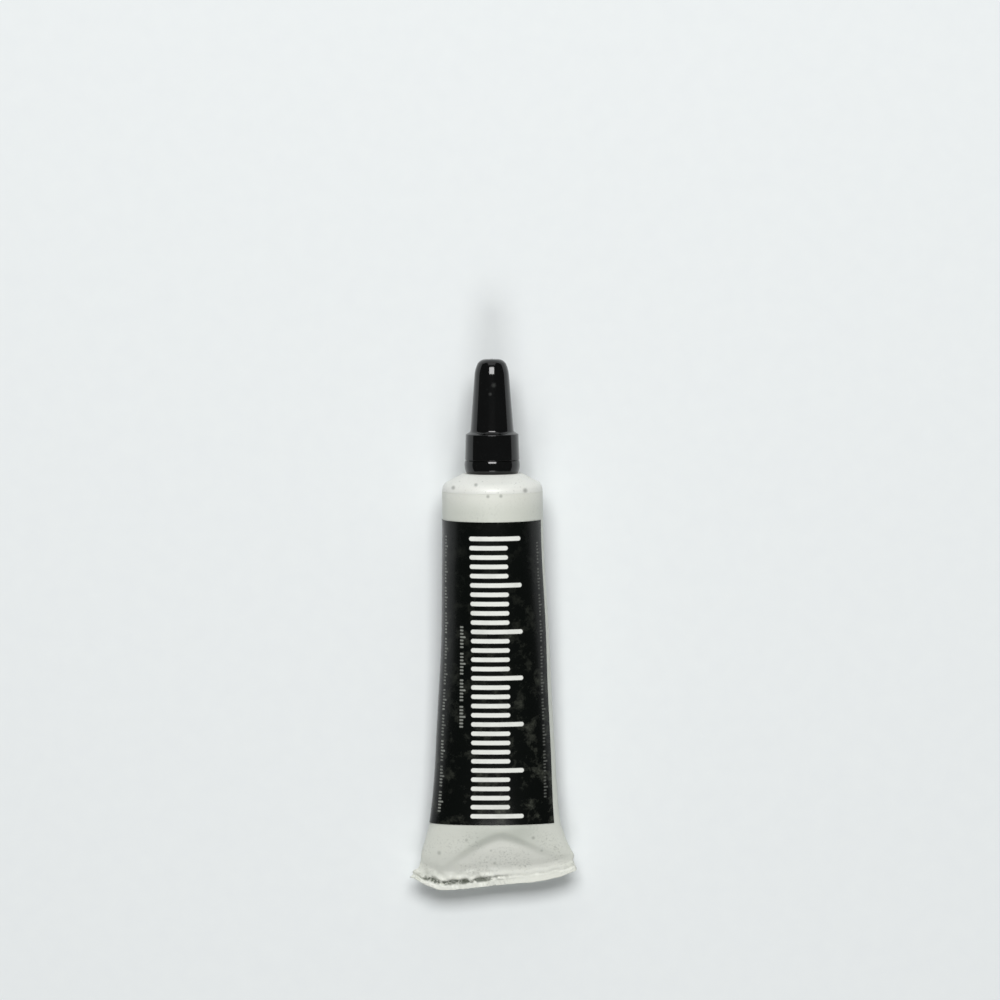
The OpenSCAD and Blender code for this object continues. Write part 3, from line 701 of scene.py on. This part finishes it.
def joined(*parts):
    """Makes one piece of several meshes, named after the first."""
    bpy.ops.object.select_all(action="DESELECT")
    for part in parts:
        part.select_set(True)
    bpy.context.view_layer.objects.active = parts[0]
    bpy.ops.object.join()
    return parts[0]


def arc(centre_r, centre_z, radius, start, end, count):
    """Points of an outline on an arc, between two angles above the level."""
    return [(centre_r + radius * math.cos(rise), centre_z + radius * math.sin(rise))
            for rise in np.linspace(start, end, count)]


plug_low, passage_r = -0.8, 1.6
collar_r, collar_top = 4.2, 4.87
stub_r, stub_top = 3.05, 8.1
ridge_r = 3.5
spout_foot_r, spout_tip_r, spout_top = 2.2, 1.25, 19.1
outlet_r, outlet_low, passage_top = 0.6, 10.85, 4.4
# The collar swells like a barrel above a rounded foot
collar_foot = arc(centre_r=3.01, centre_z=3.55, radius=1.3, start=-0.61, end=-0.36, count=6)
collar_side = arc(centre_r=1.42, centre_z=4.15, radius=3.0, start=-0.32, end=0.24, count=13)
nozzle_body = turned("nozzle_moulding", [
    (passage_r, plug_low), (socket_r, plug_low, 0.25), (socket_r, land_z), *collar_foot, *collar_side,
    (collar_r, collar_top), (stub_r, collar_top, 0.12), (stub_r, stub_top, 0.15),
    (spout_foot_r, stub_top, 0.25), (spout_tip_r, spout_top, 0.3), (outlet_r, spout_top, 0.1),
    (outlet_r, outlet_low, 0.3), (passage_r, passage_top, 0.3), (passage_r, plug_low)])
stub_thread = wound_ridge("stub_thread", stub_r - ridge_root, ridge_r, collar_top + thread_margin,
                          stub_top - thread_margin)
nozzle = joined(nozzle_body, stub_thread)

# Moulded polypropylene, carbon black: deep glossy black, with the faint waviness and hairline marks of
# polished moulding steel
black_pp, tree, shader = start_material("glossy_black_polypropylene", {"IOR": 1.52, "Roughness": 0.08})
at = add_node(tree, "ShaderNodeTexCoord").outputs["Object"]
# Flow tone in patches of 3 mm, and lint and grit of 0.3 mm
flow = add_node(tree, "ShaderNodeTexNoise", {"Vector": at, "Scale": 1 / (3 * MM), "Detail": 3.0})
tint = add_node(tree, "ShaderNodeMix", {"Factor": flow, "A": linear("#060707"), "B": linear("#0B0C0C")},
                data_type="RGBA")
grit = add_node(tree, "ShaderNodeTexNoise", {"Vector": at, "Scale": 1 / (0.3 * MM), "Detail": 2.0})
lint = add_node(tree, "ShaderNodeMapRange", {
    "Value": grit, "From Min": 0.68, "From Max": 0.82, "To Max": 0.3})
tint = add_node(tree, "ShaderNodeMix", {"Factor": lint, "A": tint, "B": linear("#4A4C4A")},
                data_type="RGBA")
# Hairlines 0.12 mm apart round the tube's axis, stretched 20 times, and a slow waviness
hair = add_node(tree, "ShaderNodeMapping", {
    "Vector": at, "Scale": (1 / (2.5 * MM), 1 / (0.12 * MM), 1 / (2.5 * MM))})
hairlines = add_node(tree, "ShaderNodeTexNoise", {"Vector": hair, "Scale": 1.0, "Detail": 2.0})
relief = add_node(tree, "ShaderNodeMath", {0: hairlines, 1: flow}, operation="ADD")
bump = add_node(tree, "ShaderNodeBump", {"Height": relief, "Strength": 0.15, "Distance": 0.008 * MM})
haze = add_node(tree, "ShaderNodeMapRange", {"Value": grit, "To Min": 0.055, "To Max": 0.11})
plug_in(tree, shader, {"Base Color": tint, "Normal": bump, "Roughness": haze})
fit(nozzle, "tube", "nozzle", black_pp)

# Sealing washer: a ring punched from a sheet of closed-cell polyethylene foam.
# It lies on the stub's end, and the cap presses it there.
washer_hole_r, washer_r, washer_top = 2.35, 3.5, 8.7
washer_middle = (stub_top + washer_top) / 2
washer = turned("foam_washer", [
    (washer_hole_r, washer_middle), (washer_hole_r, stub_top, 0.1), (washer_r, stub_top, 0.1),
    (washer_r, washer_top, 0.14), (washer_hole_r, washer_top, 0.14), (washer_hole_r, washer_middle)])
# Polyethylene foam: pale, matt and pricked all over with cells, drawn 0.12 mm across
foam, tree, shader = start_material("closed_cell_pe_foam", {"IOR": 1.5, "Roughness": 0.75})
at = add_node(tree, "ShaderNodeTexCoord").outputs["Object"]
cells = add_node(tree, "ShaderNodeTexVoronoi", {"Vector": at, "Scale": 1 / (0.12 * MM)})
tone = add_node(tree, "ShaderNodeMix", {"Factor": cells, "A": linear("#DCDDD8"), "B": linear("#C4C6C0")},
                data_type="RGBA")
bump = add_node(tree, "ShaderNodeBump", {"Height": cells, "Strength": 0.5, "Distance": 0.04 * MM})
plug_in(tree, shader, {"Base Color": tone, "Normal": bump})
fit(washer, "washer", "sealing_washer", foam)

# Cap: a black polypropylene moulding that screws onto the stub. A short skirt holds the thread, a ledge
# leads in to the tall cone that covers the spout, and a pin inside the crown stops the outlet.
bore_r, rim_z, rim_r = 3.65, 4.95, 4.35
ledge_r, ledge_low, cone_foot_r, cone_foot_z = 4.2, 9.05, 3.45, 9.45
# The crown is rounded in two steps, and bears the small dimple that the mould's gate leaves
cap_top, crown_r, crown_round, brow_r, brow_z, brow_round = 21, 1.9, 1.5, 2.68, 19.42, 5.4
gate_r, gate_mouth_r, gate_depth = 0.26, 0.32, 0.05
hollow_foot_r, hollow_top_r, hollow_top = 2.5, 1.55, 19.25
pin_r, pin_low = 0.48, 18.25
thread_gap = 0.15
cap_body = turned("screw_cap", [
    (0, cap_top - gate_depth), (gate_r, cap_top - gate_depth), (gate_mouth_r, cap_top, 0.05),
    (crown_r, cap_top, crown_round), (brow_r, brow_z, brow_round), (cone_foot_r, cone_foot_z, 0.5),
    (ledge_r, ledge_low, 0.12), (rim_r, rim_z, 0.12), (bore_r, rim_z, 0.08), (bore_r, washer_top, 0.1),
    (hollow_foot_r, washer_top, 0.1), (hollow_top_r, hollow_top, 0.3), (pin_r, hollow_top, 0.1),
    (pin_r, pin_low, 0.12), (0, pin_low)])
cap_thread = wound_ridge("cap_thread", bore_r + ridge_root, stub_r + thread_gap, rim_z + thread_margin,
                         stub_top - thread_margin, lead=pitch / 2)
cap = joined(cap_body, cap_thread)

# The same polypropylene, with two faint pale spots on the cone's front: across, height and radius
pale_spotted_pp = black_pp.copy()
pale_spotted_pp.name = "pale_spotted_black_polypropylene"
tree = pale_spotted_pp.node_tree
shader = tree.nodes["Principled BSDF"]
tint = shader.inputs["Base Color"].links[0].from_socket
at = add_node(tree, "ShaderNodeTexCoord").outputs["Object"]
for pale_spot_x, pale_spot_z, pale_spot_r in ((0.3, 16.95, 0.55), (-0.25, 15.55, 0.4)):
    pale_spot = speck_at(tree, at, on_front(cap, pale_spot_x, pale_spot_z), pale_spot_r * MM, 0.5, core_share=0)
    tint = add_node(tree, "ShaderNodeMix", {"Factor": pale_spot, "A": tint, "B": linear("#4A4C4A")},
                    data_type="RGBA")
plug_in(tree, shader, {"Base Color": tint})
fit(cap, "cap", "cap", pale_spotted_pp)

# Contents: dry graphite powder, poured loose into the sleeve before its tail is welded. It has settled level
# where the tube lies, with a slightly lumpy top.
fill_level, fill_gap = 9.0, 0.17
lump_h, lump_w = 0.25, 3
powder_top, powder_end, powder_step = 4.8, 58.4, 0.7


def powder_ring(down, grow, lift, columns):
    """One ring of the powder: the sleeve's inside, cut off at the level that the powder has settled to."""
    points = sleeve_ring(down, grow, lift, columns)
    level = (rim_point.z / MM - fill_level + points[:, 2] * math.sin(rest_tilt)) / math.cos(rest_tilt)
    lumps = lump_h * ripple(points[:, 0] / lump_w, points[:, 2] / lump_w, 0.0)
    points[:, 1] = np.maximum(points[:, 1], level + lumps)
    return points


inside = sleeve_wall + fill_gap
powder_downs = (powder_top, *np.arange(powder_top + 0.4, powder_end, powder_step))
powder = rolled("graphite_fill", [(down, -inside, inside + film_t) for down in powder_downs],
                columns=120, ring=powder_ring)
close_ends(powder)

# Flake graphite powder: dark grey grains with a slight metallic glint, grain clusters drawn 0.4 mm wide
graphite, tree, shader = start_material("graphite_flake_powder", {
    "IOR": 1.6, "Roughness": 0.55, "Metallic": 0.35})
at = add_node(tree, "ShaderNodeTexCoord").outputs["Object"]
clusters = add_node(tree, "ShaderNodeTexNoise", {"Vector": at, "Scale": 1 / (0.4 * MM), "Detail": 6.0})
tone = add_node(tree, "ShaderNodeMix", {"Factor": clusters, "A": linear("#2E3032"), "B": linear("#5A5D60")},
                data_type="RGBA")
bump = add_node(tree, "ShaderNodeBump", {"Height": clusters, "Strength": 0.7, "Distance": 0.15 * MM})
plug_in(tree, shader, {"Base Color": tone, "Normal": bump})
fit(powder, "tube", "graphite_powder", graphite, crease_deg=60)

# Floor: a wide sheet of pale matt paper that the tube lies on. Its fibres make a faint mottle 3 mm across.
# It belongs to the studio and not to the object.
bpy.ops.object.select_all(action="DESELECT")
bpy.ops.mesh.primitive_plane_add(size=4, location=(0, 0, -0.01 * MM))
floor = bpy.context.object
floor.name = "floor"
paper, tree, shader = start_material("pale_paper", {"Roughness": 0.9, "Specular IOR Level": 0.2})
at = add_node(tree, "ShaderNodeTexCoord").outputs["Object"]
fibres = add_node(tree, "ShaderNodeTexNoise", {"Vector": at, "Scale": 1 / (3 * MM), "Detail": 4.0})
tone = add_node(tree, "ShaderNodeMix", {"Factor": fibres, "A": linear("#E3E7E8"), "B": linear("#E7EBEB")},
                data_type="RGBA")
plug_in(tree, shader, {"Base Color": tone})
floor.data.materials.append(paper)

# Light: an oblong soft box above, leaning over the cap's end, a wide weak one lower down beyond the cap,
# a small one on the tail's side, and a dim even room.
lamp_target = Vector((0, 0.02, 0.01))


def softbox(name, lean_deg, turn_deg, distance, width, depth, watts):
    """Hangs an oblong lamp that faces the tube, leaning from the vertical towards a side."""
    lamp = bpy.data.lights.new(name, "AREA")
    lamp.shape, lamp.size, lamp.size_y, lamp.energy = "RECTANGLE", width, depth, watts
    holder = bpy.data.objects.new(name, lamp)
    bpy.context.scene.collection.objects.link(holder)
    lean, turn = math.radians(lean_deg), math.radians(turn_deg)
    way = Vector((math.sin(lean) * math.sin(turn), math.sin(lean) * math.cos(turn), math.cos(lean)))
    holder.location = lamp_target + way * distance
    holder.rotation_mode = "QUATERNION"
    holder.rotation_quaternion = way.to_track_quat("Z", "Y")


softbox("key_softbox", lean_deg=24, turn_deg=0, distance=0.9, width=0.5, depth=0.38, watts=6.9)
softbox("far_softbox", lean_deg=66, turn_deg=0, distance=1.1, width=0.9, depth=0.9, watts=2.2)
softbox("near_softbox", lean_deg=44, turn_deg=180, distance=1.0, width=0.35, depth=0.35, watts=2.7)
world = bpy.data.worlds.new("room")
bpy.context.scene.world = world
world.use_nodes = True
plug_in(world.node_tree, world.node_tree.nodes["Background"], {"Color": linear("#FFFFFF"), "Strength": 0.07})
bpy.context.scene.view_settings.view_transform = "Standard"

# Camera: almost straight above, leaning a degree towards the cap, far off with a long lens.
sensor_w, frame_w, camera_h = 36, 0.1592, 1.0
lens = bpy.data.cameras.new("camera")
lens.sensor_width, lens.clip_end = sensor_w, 20
lens.lens = sensor_w * camera_h / frame_w
camera = bpy.data.objects.new("camera", lens)
bpy.context.scene.collection.objects.link(camera)
bpy.context.scene.camera = camera
camera_lean, camera_roll = math.radians(0.9), math.radians(0.33)
toward = Vector((0, math.sin(camera_lean), math.cos(camera_lean)))
right = Vector((math.cos(camera_roll), -math.sin(camera_roll), 0))
right = (right - toward * right.dot(toward)).normalized()
up = toward.cross(right)
frame_middle = Vector((0.0012, 0.0199, 0.0085))
camera.matrix_world = (Matrix.Translation(frame_middle + toward * camera_h)
                       @ Matrix((right, up, toward)).transposed().to_4x4())
